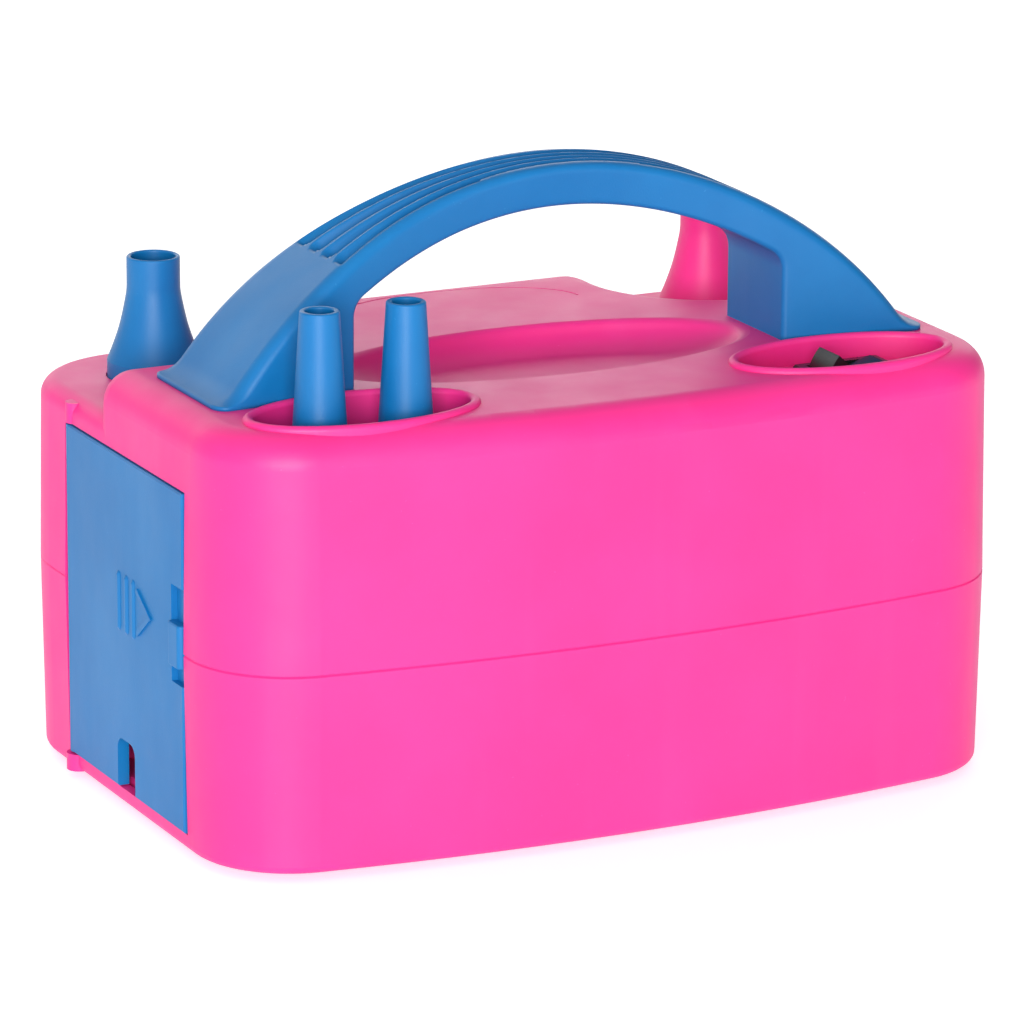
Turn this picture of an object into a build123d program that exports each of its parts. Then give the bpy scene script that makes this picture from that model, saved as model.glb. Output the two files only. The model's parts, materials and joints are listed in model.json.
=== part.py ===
from build123d import *
import os
from math import cos, radians, sin, sqrt

# Twin-nozzle electric balloon inflator, in millimetres. The origin is on the table under the middle
# of the housing: +Z is up, +Y runs from the front wall to the rear wall, and X is the long way.

os.makedirs("parts", exist_ok=True)

# Housing shells
body_length = 215.0
body_depth = 149.0
front_bow = 9.4
front_corner = 26.4
rear_corner = 28.5
foot_height = 2.0
parting_z = 51.8
deck_z = 110.0
wall = 2.5
draft_angle = 0.9
draft_inset = 0.9
rear_round = 24.0
crest_round = 8.0
half_length = body_length / 2
half_depth = body_depth / 2
floor_z = foot_height + wall
parting_groove = 0.35
diagonal = sqrt(0.5)

# Wells in the rear corners, round the two outlets
well_x = 77.6
nozzle_x = 78.2
nozzle_y = 46.2
well_radius = 29.0
well_deck_z = 98.2
well_edge_round = 4.5

# Outlet nozzles
rim_z = 128.8
rim_radius = 6.7
bore_radius = 5.6
neck_z = 121.5
collar_radius = 11.8
collar_z = 102.3
flare = [(7.1, 118.0), (7.7, 115.0), (8.95, 110.0), (10.4, 105.8)]
nozzle_clearance = 0.35
flange_radius = 13.6
flange_top_z = well_deck_z - wall - 0.1
flange_bottom_z = flange_top_z - 2.5
spigot_radius = 8.5
spigot_wall = 1.5
throat_bottom_z = 103.5
throat_top_z = 114.0
finger_reach = 28.0
finger_width = 5.0
spring_radius = 11.0
spring_turns = 2.5
spring_wire = 0.4

# Pockets in the front corners of the deck
pocket_x = 65.2
pocket_y = -49.9
pocket_a = 30.4
pocket_b = 16.3
bead_width = 2.5
bead_height = 1.3
bead_round = 1.15
tip_floor_z = 93.0
switch_floor_z = 104.8
tip_places = (-76.4, -53.8)
tip_y = -50.0
tip_top_z = 136.0
tip_bore = rim_radius + 0.1
tip_base_radius = 8.3
tip_shoulder_z = 101.5
tip_neck_radius = 6.75
tip_neck_bore = 5.2
tip_neck_z = 104.5
tip_top_radius = 4.8
tip_top_bore = 3.4
peg_height = 7.0

# Finger dish under the handle
dish_y = -14.0
dish_a = 56.5
dish_b = 24.0
dish_depth = 6.5
dish_rim_round = 1.8
dish_wall_angle = 70.0

# Line engraved across the rear of the deck
crest_line_y = 32.8
crest_line_a = 34.5
crest_line_b = 19.3
crest_line_width = 0.6
crest_line_floor_z = 109.6

# Handle
handle_y = -16.7
arch_top_z = 159.3
arch_radius = 113.7
grip_thickness = 11.0
underside_radius = 109.8
leg_x = 58.6
foot_x = 97.0
foot_half_width = 19.8
leg_half_width = 15.2
grip_half_width = 8.6
flare_x = 90.5
foot_edge = 1.0
leg_fillet = 6.0
handle_core_width = 19.0
screw_radius = 1.5
screw_hole_radius = 1.9
handle_screw_places = [(x, handle_y + y) for x in (-70.0, 70.0) for y in (-12.4, 12.4)]

# Cord door and cord compartment
door_front_y = -38.9
door_bottom_z = 6.75
door_top_z = 91.7
door_outer_x = -107.6
door_thickness = 3.0
door_gap = 0.4
hinge_x = -105.4
hinge_y = 32.6
barrel_radius = 2.2
hinge_pin_radius = 1.25
lower_lug_radius = 3.2
upper_lug_radius = 2.3
lug_height = 5.2

# Rocker switch
switch_x = 67.5
switch_y = -50.0
switch_pivot_z = 103.2
rocker_tilt = 14.0
rocker_half_width = 5.05
pivot_radius = 1.0
switch_cutout = (22.6, 13.2)
bezel_size = (24.0, 15.5)
switch_case_size = (22.4, 13.0)
switch_cavity_size = (18.9, 10.5)
switch_bottom_z = 86.0
switch_cavity_floor_z = 94.0
terminal_size = (0.8, 4.8)
terminal_length = 8.0

# Motor units, one under each outlet
chamber_radius = 24.0
chamber_wall = 1.8
chamber_top_z = 86.2
chamber_bottom_z = 30.0
chamber_top_wall = 2.2
fan_housing_wall = 2.0
intake_radius = 11.0
ring_thickness = 1.0
ring_height = 6.0
ring_places = (12.0, 74.0)
shaft_radius = 2.5
shaft_bottom_z = 10.0
shaft_length = 72.0
bearing_radius = 6.5
bearing_height = 5.0
bearing_places = (25.5, 77.0)
bearing_boss_radius = 8.5
bearing_boss_height = 6.5
plate_thickness = 2.0
core_bottom_z = 38.0
core_top_z = 62.0
core_height = core_top_z - core_bottom_z
stator_radius = 21.0
stator_back = 2.6
pole_shoe_radius = 12.6
rotor_gap_radius = 11.1
armature_radius = 10.5
winding_radius = 9.6
winding_height = 4.5
commutator_radius = 6.5
commutator_bottom_z = core_top_z + 5
commutator_height = 8.0
brush_z = 71.0
brush_width = 4.4
brush_length = 10.0
impeller_bottom_z = 11.5
impeller_disc_z = 20.5
impeller_radius = 19.5
blade_length = 13.0
blade_lean = 28.0
sides = {"left": -1, "right": 1}

# Screw bosses that join the two shells
boss_places = [(-92.0, -45.0), (92.0, -45.0), (-40.0, 64.0), (40.0, 64.0), (0.0, -63.0)]
boss_radius = 4.5
head_well_radius = 4.2
head_well_depth = 38.0

# Moulded feet
foot_places = [(-77.0, -53.0), (77.0, -53.0), (-90.5, 57.5), (90.5, 57.5)]
foot_radius = 8.3

# ---- plan outlines shared by the housing shells ----

with BuildSketch() as plan:
    with BuildLine():
        ThreePointArc(
            (-half_length, -half_depth + front_bow),
            (0, -half_depth),
            (half_length, -half_depth + front_bow),
        )
        Polyline(
            (half_length, -half_depth + front_bow),
            (half_length, half_depth),
            (-half_length, half_depth),
            (-half_length, -half_depth + front_bow),
        )
    make_face()
    fillet(plan.vertices().group_by(Axis.Y)[0], front_corner)
    fillet(plan.vertices().group_by(Axis.Y)[-1], rear_corner)

with BuildSketch() as wells:
    with BuildLine():
        Line((half_length + 30, nozzle_y - well_radius), (well_x, nozzle_y - well_radius))
        ThreePointArc(
            (well_x, nozzle_y - well_radius),
            (well_x - well_radius * diagonal, nozzle_y - well_radius * diagonal),
            (well_x - well_radius, nozzle_y),
        )
        Polyline(
            (well_x - well_radius, nozzle_y),
            (well_x - well_radius, half_depth + 30),
            (half_length + 30, half_depth + 30),
            (half_length + 30, nozzle_y - well_radius),
        )
    make_face()
    mirror(about=Plane.YZ)


def upper_form(depth):
    """The upper shell's solid form, with every face moved inward by depth."""
    top = deck_z - depth
    with BuildPart() as form:
        with BuildSketch(Plane.XY.offset(parting_z)):
            add(plan.sketch)
            if depth:
                offset(amount=-depth, mode=Mode.REPLACE)
        extrude(amount=top - parting_z, taper=draft_angle)
        # the rear edge of the deck rolls over in one large round
        round_y = half_depth - draft_inset - rear_round
        round_z = deck_z - rear_round
        radius = rear_round - depth
        with BuildSketch(Plane.YZ.offset(-half_length - 5)):
            with BuildLine():
                ThreePointArc(
                    (round_y, round_z + radius),
                    (round_y + radius * diagonal, round_z + radius * diagonal),
                    (round_y + radius, round_z),
                )
                Polyline(
                    (round_y + radius, round_z),
                    (half_depth + 10, round_z),
                    (half_depth + 10, deck_z + 10),
                    (round_y, deck_z + 10),
                    (round_y, round_z + radius),
                )
            make_face()
        extrude(amount=body_length + 10, mode=Mode.SUBTRACT)
        with BuildSketch(Plane.XY.offset(parting_z)):
            add(wells.sketch)
            if depth:
                offset(amount=depth, mode=Mode.REPLACE)
        extrude(amount=deck_z, mode=Mode.SUBTRACT)
        step_y = nozzle_y - well_radius - depth
        shoulders = form.edges().filter_by(
            lambda e: e.bounding_box().size.Z > 9
            and abs(e.center().X) > 100
            and abs(e.center().Y - step_y) < 1
        )
        fillet(shoulders, crest_round - depth)
        crest = form.edges().filter_by(
            lambda e: e.bounding_box().max.Z > top - 0.01
            and e.center().Z > well_deck_z
            and not (e.geom_type == GeomType.LINE and abs(e.center().Y - round_y) < 0.2)
        )
        fillet(crest, crest_round - depth)
    # the lower deck, which shows only in the two wells
    with BuildPart() as lower_deck:
        with BuildSketch(Plane.XY.offset(parting_z)):
            add(plan.sketch)
            if depth:
                offset(amount=-depth, mode=Mode.REPLACE)
        extrude(amount=well_deck_z - depth - parting_z, taper=draft_angle)
        fillet(lower_deck.faces().sort_by(Axis.Z)[-1].edges(), well_edge_round - depth)
        with BuildSketch(Plane.XY.offset(parting_z)):
            with Locations((0, step_y - crest_round - 2)):
                Rectangle(body_length, body_depth, align=(Align.CENTER, Align.MAX))
        extrude(amount=deck_z - parting_z, mode=Mode.SUBTRACT)
        add(form.part)
    return lower_deck.part


def ellipse_block(x, y, a, b, bottom, top):
    """An upright elliptical block, for adding to or cutting from the shell."""
    with BuildPart() as block:
        with BuildSketch(Plane((x, y, bottom))):
            Ellipse(a, b)
        extrude(amount=top - bottom)
    return block.part


def well_plane(side, z=0.0):
    """Horizontal plane with its origin on one outlet's axis."""
    return Plane((side * nozzle_x, nozzle_y, z))


def outlet_section(side):
    """Upright plane through one outlet's axis: local x is the radius and local y is the height."""
    return Plane(origin=(side * nozzle_x, nozzle_y, 0), x_dir=(1, 0, 0), z_dir=(0, -1, 0))


def outlet_axis(side):
    return Axis((side * nozzle_x, nozzle_y, 0), (0, 0, 1))


# ---- upper housing ----

dish_floor_z = deck_z - dish_depth
door_middle_z = (door_bottom_z + door_top_z) / 2
aperture_height = door_top_z - door_bottom_z + 2 * door_gap
aperture_front = door_front_y - door_gap
aperture_rear = hinge_y + barrel_radius + door_gap

with BuildPart() as upper_cavity:
    add(upper_form(wall))
    under_dish = ellipse_block(0, dish_y, dish_a + wall, dish_b + wall, dish_floor_z - wall, deck_z)
    add(under_dish, mode=Mode.SUBTRACT)
    for x, floor in ((-pocket_x, tip_floor_z), (pocket_x, switch_floor_z)):
        add(ellipse_block(x, pocket_y, pocket_a, pocket_b, floor - wall, deck_z), mode=Mode.SUBTRACT)
    with BuildSketch(Plane.XY.offset(parting_z)):
        with Locations(*boss_places):
            Circle(boss_radius)
    extrude(amount=deck_z - parting_z, mode=Mode.SUBTRACT)

# The dish's section is drawn round and then stretched lengthwise. Its rim rolls over into a steep wall,
# and the wall runs into the flat floor in one large round.
rim_start = radians(10)
rim_end = radians(dish_wall_angle)
rim_centre = (dish_b + 0.8, -dish_rim_round * cos(rim_start))


def dish_rim(angle):
    """A point of the dish's rim round; the angle is measured from straight up."""
    return (rim_centre[0] - dish_rim_round * sin(angle), rim_centre[1] + dish_rim_round * cos(angle))


wall_top = dish_rim(rim_end)
floor_round = (dish_depth + wall_top[1]) / (1 - cos(rim_end))
with BuildPart() as dish:
    with BuildSketch(Plane.XZ):
        with BuildLine():
            ThreePointArc(dish_rim(rim_start), dish_rim((rim_start + rim_end) / 2), wall_top)
            TangentArc(
                wall_top,
                (wall_top[0] - floor_round * sin(rim_end), -dish_depth),
                tangent=(-cos(rim_end), -sin(rim_end)),
            )
            Polyline(
                (wall_top[0] - floor_round * sin(rim_end), -dish_depth),
                (0, -dish_depth),
                (0, 3),
                (dish_rim(rim_start)[0] + 3, 3),
                dish_rim(rim_start),
            )
        make_face()
    revolve(axis=Axis.Z)
dish_cutter = Pos(0, dish_y, deck_z) * scale(dish.part, by=(dish_a / dish_b, 1, 1))

with BuildPart() as upper_housing:
    add(upper_form(0))
    chamfer(upper_housing.faces().sort_by(Axis.Z)[0].edges(), parting_groove)
    for x in (-pocket_x, pocket_x):
        add(ellipse_block(x, pocket_y, pocket_a, pocket_b, deck_z - 8, deck_z + bead_height))
    add(upper_cavity.part, mode=Mode.SUBTRACT)
    add(dish_cutter, mode=Mode.SUBTRACT)
    for x, floor in ((-pocket_x, tip_floor_z), (pocket_x, switch_floor_z)):
        inner = (pocket_a - bead_width, pocket_b - bead_width)
        add(ellipse_block(x, pocket_y, *inner, floor, deck_z + 5), mode=Mode.SUBTRACT)
    beads = upper_housing.edges().filter_by(lambda e: abs(e.center().Z - deck_z - bead_height) < 0.01)
    fillet(beads, bead_round)
    with BuildSketch(Plane.XY.offset(crest_line_floor_z)):
        with Locations((0, crest_line_y)):
            Ellipse(crest_line_a, crest_line_b)
            Ellipse(crest_line_a - crest_line_width, crest_line_b - crest_line_width, mode=Mode.SUBTRACT)
            Rectangle(body_length, body_depth, align=(Align.CENTER, Align.MAX), mode=Mode.SUBTRACT)
    extrude(amount=2, mode=Mode.SUBTRACT)
    # storage pegs that the small nozzle tips stand over
    with BuildSketch(Plane.XY.offset(tip_floor_z)):
        with Locations(*[(x, tip_y) for x in tip_places]):
            Circle(tip_bore - 0.5)
    extrude(amount=peg_height)
    # hinge lug above the door
    with BuildSketch(Plane.XY.offset(door_top_z + door_gap)):
        with Locations((hinge_x, hinge_y)):
            Circle(upper_lug_radius)
        with Locations((hinge_x + upper_lug_radius + 2, hinge_y)):
            Rectangle(2 * upper_lug_radius, 3 * upper_lug_radius, mode=Mode.SUBTRACT)
    extrude(amount=lug_height)
    # openings: outlets, door, hinge pin, switch and the screw holes
    with BuildSketch(Plane.XY.offset(well_deck_z - 8)):
        with Locations((-nozzle_x, nozzle_y), (nozzle_x, nozzle_y)):
            Circle(collar_radius + nozzle_clearance)
    extrude(amount=20, mode=Mode.SUBTRACT)
    with BuildSketch(Plane.YZ.offset(-half_length - 3)):
        with Locations(((aperture_front + aperture_rear) / 2, door_middle_z)):
            Rectangle(aperture_rear - aperture_front, aperture_height)
    extrude(amount=8, mode=Mode.SUBTRACT)
    with BuildSketch(Plane.XY.offset(door_top_z - 1)):
        with Locations((hinge_x, hinge_y)):
            Circle(hinge_pin_radius + 0.05)
    extrude(amount=4.6, mode=Mode.SUBTRACT)
    with BuildSketch(Plane.XY.offset(switch_floor_z - 5)):
        with Locations((switch_x, switch_y)):
            Rectangle(*switch_cutout)
    extrude(amount=10, mode=Mode.SUBTRACT)
    with BuildSketch(Plane.XY.offset(deck_z - 5)):
        with Locations(*handle_screw_places):
            Circle(screw_hole_radius)
    extrude(amount=8, mode=Mode.SUBTRACT)
    with BuildSketch(Plane.XY.offset(parting_z)):
        with Locations(*boss_places):
            Circle(screw_radius)
    extrude(amount=16, mode=Mode.SUBTRACT)
upper_housing.part.label = "upper_housing"
export_step(upper_housing.part, "parts/upper_housing.step")

# ---- lower housing ----

with BuildPart() as lower_housing:
    with BuildSketch(Plane.XY.offset(parting_z)):
        add(plan.sketch)
    extrude(amount=-(parting_z - foot_height), taper=draft_angle)
    fillet(lower_housing.faces().sort_by(Axis.Z)[0].edges(), 2.2)
    chamfer(lower_housing.faces().sort_by(Axis.Z)[-1].edges(), parting_groove)
    with BuildSketch(Plane.XY.offset(parting_z)):
        add(plan.sketch)
        offset(amount=-wall, mode=Mode.REPLACE)
    extrude(amount=-(parting_z - floor_z), taper=draft_angle, mode=Mode.SUBTRACT)
    # locating lip that enters the upper shell
    with BuildSketch(Plane.XY.offset(parting_z - 5)):
        add(plan.sketch)
        offset(amount=-wall + 0.1, mode=Mode.REPLACE)
        offset(plan.sketch, amount=-wall - 1.3, mode=Mode.SUBTRACT)
    extrude(amount=4.9)
    with BuildSketch(Plane.XY.offset(parting_z - 1)):
        offset(plan.sketch, amount=-wall - 0.15)
        offset(plan.sketch, amount=-wall - 1.3, mode=Mode.SUBTRACT)
    extrude(amount=3)
    # screw bosses, each with a deep well for the screw's head
    with BuildSketch(Plane.XY.offset(foot_height)):
        with Locations(*boss_places):
            Circle(boss_radius + 1.2)
    extrude(amount=parting_z - foot_height)
    # seats under the two fan housings
    with BuildSketch(Plane.XY.offset(floor_z - 0.5)):
        with Locations((-nozzle_x, nozzle_y), (nozzle_x, nozzle_y)):
            Circle(22)
            Circle(20, mode=Mode.SUBTRACT)
    extrude(amount=2)
    # rests for the capacitor
    with BuildSketch(Plane.XY.offset(floor_z - 0.5)):
        with Locations((0, 34), (0, 46.2)):
            Rectangle(24, 1.6)
    extrude(amount=6.5)
    # hinge lug below the door
    with BuildSketch(Plane.XY.offset(foot_height)):
        with Locations((hinge_x, hinge_y)):
            Circle(lower_lug_radius)
        with Locations((hinge_x + lower_lug_radius + 2, hinge_y)):
            Rectangle(2 * lower_lug_radius, 3 * lower_lug_radius, mode=Mode.SUBTRACT)
    extrude(amount=door_bottom_z - door_gap - foot_height)
    # moulded feet
    with BuildSketch():
        with Locations(*foot_places):
            Circle(foot_radius)
    extrude(amount=foot_height + 0.5)
    fillet(lower_housing.faces().sort_by(Axis.Z)[:4].edges(), 0.8)
    # door opening, hinge pin hole and screw holes
    with BuildSketch(Plane.YZ.offset(-half_length - 3)):
        with Locations(((aperture_front + aperture_rear) / 2, door_middle_z)):
            Rectangle(aperture_rear - aperture_front, aperture_height)
    extrude(amount=8, mode=Mode.SUBTRACT)
    with BuildSketch(Plane.XY.offset(door_bottom_z - 3.6)):
        with Locations((hinge_x, hinge_y)):
            Circle(hinge_pin_radius + 0.05)
    extrude(amount=5, mode=Mode.SUBTRACT)
    with BuildSketch(Plane.XY.offset(foot_height)):
        with Locations(*boss_places):
            Circle(head_well_radius)
    extrude(amount=head_well_depth, mode=Mode.SUBTRACT)
    with BuildSketch(Plane.XY.offset(foot_height)):
        with Locations(*boss_places):
            Circle(screw_hole_radius)
    extrude(amount=parting_z, mode=Mode.SUBTRACT)
    # intake grilles
    slot_pitch = 4.0
    slot_width = 2.2
    grille_radius = 11.6
    with BuildSketch(Plane.XY.offset(foot_height)):
        for side in sides.values():
            for row in range(-2, 3):
                length = 2 * sqrt(grille_radius**2 - (row * slot_pitch) ** 2)
                with Locations((side * nozzle_x, nozzle_y + row * slot_pitch)):
                    SlotOverall(length, slot_width)
    extrude(amount=wall, mode=Mode.SUBTRACT)
lower_housing.part.label = "lower_housing"
export_step(lower_housing.part, "parts/lower_housing.step")

screw_head_z = foot_height + head_well_depth
screw_head_height = 2.4
with BuildPart() as housing_screws:
    with BuildSketch(Plane.XY.offset(screw_head_z - screw_head_height)):
        with Locations(*boss_places):
            Circle(3.6)
    extrude(amount=screw_head_height)
    with BuildSketch(Plane.XY.offset(screw_head_z)):
        with Locations(*boss_places):
            Circle(screw_radius)
    extrude(amount=24)
    with BuildSketch(Plane.XY.offset(screw_head_z - screw_head_height)):
        with Locations(*boss_places):
            Rectangle(4.4, 0.9)
            Rectangle(0.9, 4.4)
    extrude(amount=1.4, mode=Mode.SUBTRACT)
housing_screws.part.label = "housing_screws"
export_step(housing_screws.part, "parts/housing_screws.step")

# ---- handle ----

arch_centre_z = arch_top_z - arch_radius
underside_centre_z = arch_top_z - grip_thickness - underside_radius


def arch_z(x):
    return arch_centre_z + sqrt(arch_radius**2 - x**2)


def underside_z(x):
    return underside_centre_z + sqrt(underside_radius**2 - x**2)


with BuildPart() as handle:
    with BuildSketch(Plane.XZ.offset(-handle_y)) as side_view:
        with BuildLine():
            outer_arc = ThreePointArc(
                (-flare_x, arch_z(flare_x)),
                (0, arch_top_z),
                (flare_x, arch_z(flare_x)),
            )
            TangentArc(outer_arc @ 1, (foot_x, deck_z + foot_edge), tangent=outer_arc % 1)
            TangentArc(outer_arc @ 0, (-foot_x, deck_z + foot_edge), tangent=-(outer_arc % 0))
            Polyline(
                (foot_x, deck_z + foot_edge),
                (foot_x, deck_z),
                (leg_x, deck_z),
                (leg_x, underside_z(leg_x)),
            )
            ThreePointArc(
                (leg_x, underside_z(leg_x)),
                (0, arch_top_z - grip_thickness),
                (-leg_x, underside_z(leg_x)),
            )
            Polyline(
                (-leg_x, underside_z(leg_x)),
                (-leg_x, deck_z),
                (-foot_x, deck_z),
                (-foot_x, deck_z + foot_edge),
            )
        make_face()
        inner_corners = side_view.vertices().filter_by(
            lambda v: abs(abs(v.X) - leg_x) < 0.01 and v.Y > deck_z + 1
        )
        fillet(inner_corners, leg_fillet)
    extrude(amount=30, both=True)
    # seen from above the handle is narrow at the grip and wide at the feet
    with BuildSketch(Plane.XY.offset(deck_z - 1)):
        with BuildLine():
            Spline(
                (-foot_x - 1, handle_y + foot_half_width),
                (-leg_x, handle_y + leg_half_width),
                (0, handle_y + grip_half_width),
                (leg_x, handle_y + leg_half_width),
                (foot_x + 1, handle_y + foot_half_width),
            )
            Line((foot_x + 1, handle_y + foot_half_width), (foot_x + 1, handle_y - foot_half_width))
            Spline(
                (foot_x + 1, handle_y - foot_half_width),
                (leg_x, handle_y - leg_half_width),
                (0, handle_y - grip_half_width),
                (-leg_x, handle_y - leg_half_width),
                (-foot_x - 1, handle_y - foot_half_width),
            )
            Line((-foot_x - 1, handle_y - foot_half_width), (-foot_x - 1, handle_y + foot_half_width))
        make_face()
    extrude(amount=arch_top_z, mode=Mode.INTERSECT)
    # the legs are cored out from below
    with BuildSketch(Plane.XZ.offset(-handle_y)):
        with BuildLine():
            Polyline(
                (leg_x + 4, deck_z),
                (leg_x + 4, 133),
                (70, 128),
                (80, 118),
                (86, deck_z + 3),
                (86, deck_z),
                (leg_x + 4, deck_z),
            )
        make_face()
        mirror(about=Plane.YZ)
    extrude(amount=handle_core_width / 2, both=True, mode=Mode.SUBTRACT)
    with BuildSketch(Plane.XY.offset(deck_z)):
        with Locations(*handle_screw_places):
            Circle(screw_radius)
    extrude(amount=12, mode=Mode.SUBTRACT)
handle.part.label = "handle"
export_step(handle.part, "parts/handle.step")

handle_screw_head = 2.2
with BuildPart() as handle_screws:
    with BuildSketch(Plane.XY.offset(deck_z - wall - handle_screw_head)):
        with Locations(*handle_screw_places):
            Circle(3.2)
    extrude(amount=handle_screw_head)
    with BuildSketch(Plane.XY.offset(deck_z - wall)):
        with Locations(*handle_screw_places):
            Circle(screw_radius)
    extrude(amount=13)
    with BuildSketch(Plane.XY.offset(deck_z - wall - handle_screw_head)):
        with Locations(*handle_screw_places):
            Rectangle(4, 0.8)
            Rectangle(0.8, 4)
    extrude(amount=1.3, mode=Mode.SUBTRACT)
handle_screws.part.label = "handle_screws"
export_step(handle_screws.part, "parts/handle_screws.step")

# ---- cord door, cord compartment and cord inlet ----

notch_y = -3.3
notch_width = 10.9
notch_height = 13.0
recess_width = 6.6
recess_bottom_z = 43.6
recess_top_z = 68.0
tab_width = 7.1
tab_bottom_z = 48.0
tab_top_z = 58.9
tab_proud = 1.1
bar_places = (0.3, -4.5, -8.8)
bar_bottom_z = 47.5
bar_top_z = 62.6
bar_width = 2.4
mark_proud = 0.55
recess_depth = 1.6
chevron_tip = (-20.4, 55.7)
chevron_stroke = 2.0
door_height = door_top_z - door_bottom_z
with BuildPart() as cord_door:
    with BuildSketch(Plane.YZ.offset(door_outer_x)):
        with Locations(((door_front_y + hinge_y) / 2, door_middle_z)):
            Rectangle(hinge_y - door_front_y, door_height)
    extrude(amount=door_thickness)
    chamfer(cord_door.faces().sort_by(Axis.X)[0].edges(), 0.4)
    with BuildSketch(Plane.XY.offset(door_bottom_z)):
        with Locations((hinge_x, hinge_y)):
            Circle(barrel_radius)
    extrude(amount=door_height)
    with BuildSketch(Plane.XY.offset(door_bottom_z - 3)):
        with Locations((hinge_x, hinge_y)):
            Circle(hinge_pin_radius)
    extrude(amount=door_height + 6)
    # notch that lets the power cord out while the door is shut
    with BuildSketch(Plane.YZ.offset(door_outer_x - 1)) as notch:
        with Locations((notch_y, door_bottom_z + notch_height / 2 - 1)):
            Rectangle(notch_width, notch_height + 2)
        fillet(notch.vertices().group_by(Axis.Y)[-1], 3)
    extrude(amount=door_thickness + 2, mode=Mode.SUBTRACT)
    # raised bars, and an arrowhead that points to the latch
    with BuildSketch(Plane.YZ.offset(door_outer_x - mark_proud)):
        with Locations(*[(y, (bar_bottom_z + bar_top_z) / 2) for y in bar_places]):
            SlotOverall(bar_top_z - bar_bottom_z, bar_width, rotation=90)
    extrude(amount=mark_proud + 0.5)
    bar_rims = cord_door.faces().sort_by(Axis.X)[:3].edges()
    chamfer(bar_rims, mark_proud - 0.1, 0.8)
    with BuildSketch(Plane.YZ.offset(door_outer_x - mark_proud)):
        with BuildLine():
            Polyline(
                (-11.9, 61.2),
                chevron_tip,
                (-12.2, 49.2),
                (-11.5, 50.4),
                (chevron_tip[0] + chevron_stroke, chevron_tip[1]),
                (-11.2, 60.1),
                (-11.9, 61.2),
            )
        make_face()
    extrude(amount=mark_proud + 0.5)
    # thumb recess at the door's free edge, with the latch tab standing in it
    with BuildSketch(Plane.YZ.offset(door_outer_x)):
        with Locations((door_front_y, recess_bottom_z)):
            Rectangle(recess_width, recess_top_z - recess_bottom_z, align=Align.MIN)
    extrude(amount=recess_depth, mode=Mode.SUBTRACT)
    with BuildPart(mode=Mode.PRIVATE) as tab:
        with BuildSketch(Plane.YZ.offset(door_outer_x - tab_proud)):
            with Locations((door_front_y, tab_bottom_z)):
                Rectangle(tab_width, tab_top_z - tab_bottom_z, align=Align.MIN)
        extrude(amount=door_thickness)
        fillet(tab.edges().filter_by(Axis.Z).group_by(Axis.X)[0], 1.3)
        fillet(tab.edges().filter_by(Axis.Y).group_by(Axis.X)[0], 0.5)
    add(tab.part)
cord_door.part.label = "cord_door"
export_step(cord_door.part, "parts/cord_door.step")

tub_back_x = -58.0
tub_wall = 1.8
tub_front_y = -38.0
tub_rear_y = 19.8
tub_bottom_z = 6.0
tub_top_z = 89.8
tub_flange_x = -103.1
flange_front_y = -40.5
flange_rear_y = 36.5
flange_low_z = 5.2
flange_high_z = 92.5
tub_flange_thickness = 1.5
tub_middle = ((tub_front_y + tub_rear_y) / 2, (tub_bottom_z + tub_top_z) / 2)
inlet_y = -8.0
inlet_z = 17.0
inlet_hole_radius = 5.0
inlet_bore_radius = 3.4
inlet_inner_flange = 2.0
inlet_outer_flange = 2.4
with BuildPart() as cord_tub:
    with BuildSketch(Plane.YZ.offset(tub_flange_x)):
        with Locations(tub_middle):
            Rectangle(tub_rear_y - tub_front_y, tub_top_z - tub_bottom_z)
    extrude(amount=tub_back_x - tub_flange_x)
    with BuildSketch(Plane.YZ.offset(tub_flange_x)):
        with Locations((flange_front_y, flange_low_z)):
            Rectangle(flange_rear_y - flange_front_y, flange_high_z - flange_low_z, align=Align.MIN)
    extrude(amount=tub_flange_thickness)
    with BuildSketch(Plane.YZ.offset(tub_flange_x)):
        with Locations(tub_middle):
            Rectangle(tub_rear_y - tub_front_y - 2 * tub_wall, tub_top_z - tub_bottom_z - 2 * tub_wall)
    extrude(amount=tub_back_x - tub_flange_x - tub_wall, mode=Mode.SUBTRACT)
    with BuildSketch(Plane.YZ.offset(tub_back_x - 5)):
        with Locations((inlet_y, inlet_z)):
            Circle(inlet_hole_radius)
    extrude(amount=10, mode=Mode.SUBTRACT)
cord_tub.part.label = "cord_tub"
export_step(cord_tub.part, "parts/cord_tub.step")

with BuildPart() as cord_inlet:
    with BuildSketch(Plane.YZ.offset(tub_back_x - tub_wall - inlet_inner_flange)):
        with Locations((inlet_y, inlet_z)):
            Circle(inlet_hole_radius + 2)
    extrude(amount=inlet_inner_flange)
    with BuildSketch(Plane.YZ.offset(tub_back_x - tub_wall)):
        with Locations((inlet_y, inlet_z)):
            Circle(inlet_hole_radius)
    extrude(amount=tub_wall)
    with BuildSketch(Plane.YZ.offset(tub_back_x)):
        with Locations((inlet_y, inlet_z)):
            Circle(inlet_hole_radius + 1.4)
    extrude(amount=inlet_outer_flange)
    with BuildSketch(Plane.YZ.offset(tub_back_x - 8)):
        with Locations((inlet_y, inlet_z)):
            Circle(inlet_bore_radius)
    extrude(amount=16, mode=Mode.SUBTRACT)
cord_inlet.part.label = "cord_inlet"
export_step(cord_inlet.part, "parts/cord_inlet.step")

# ---- rocker switch ----

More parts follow.
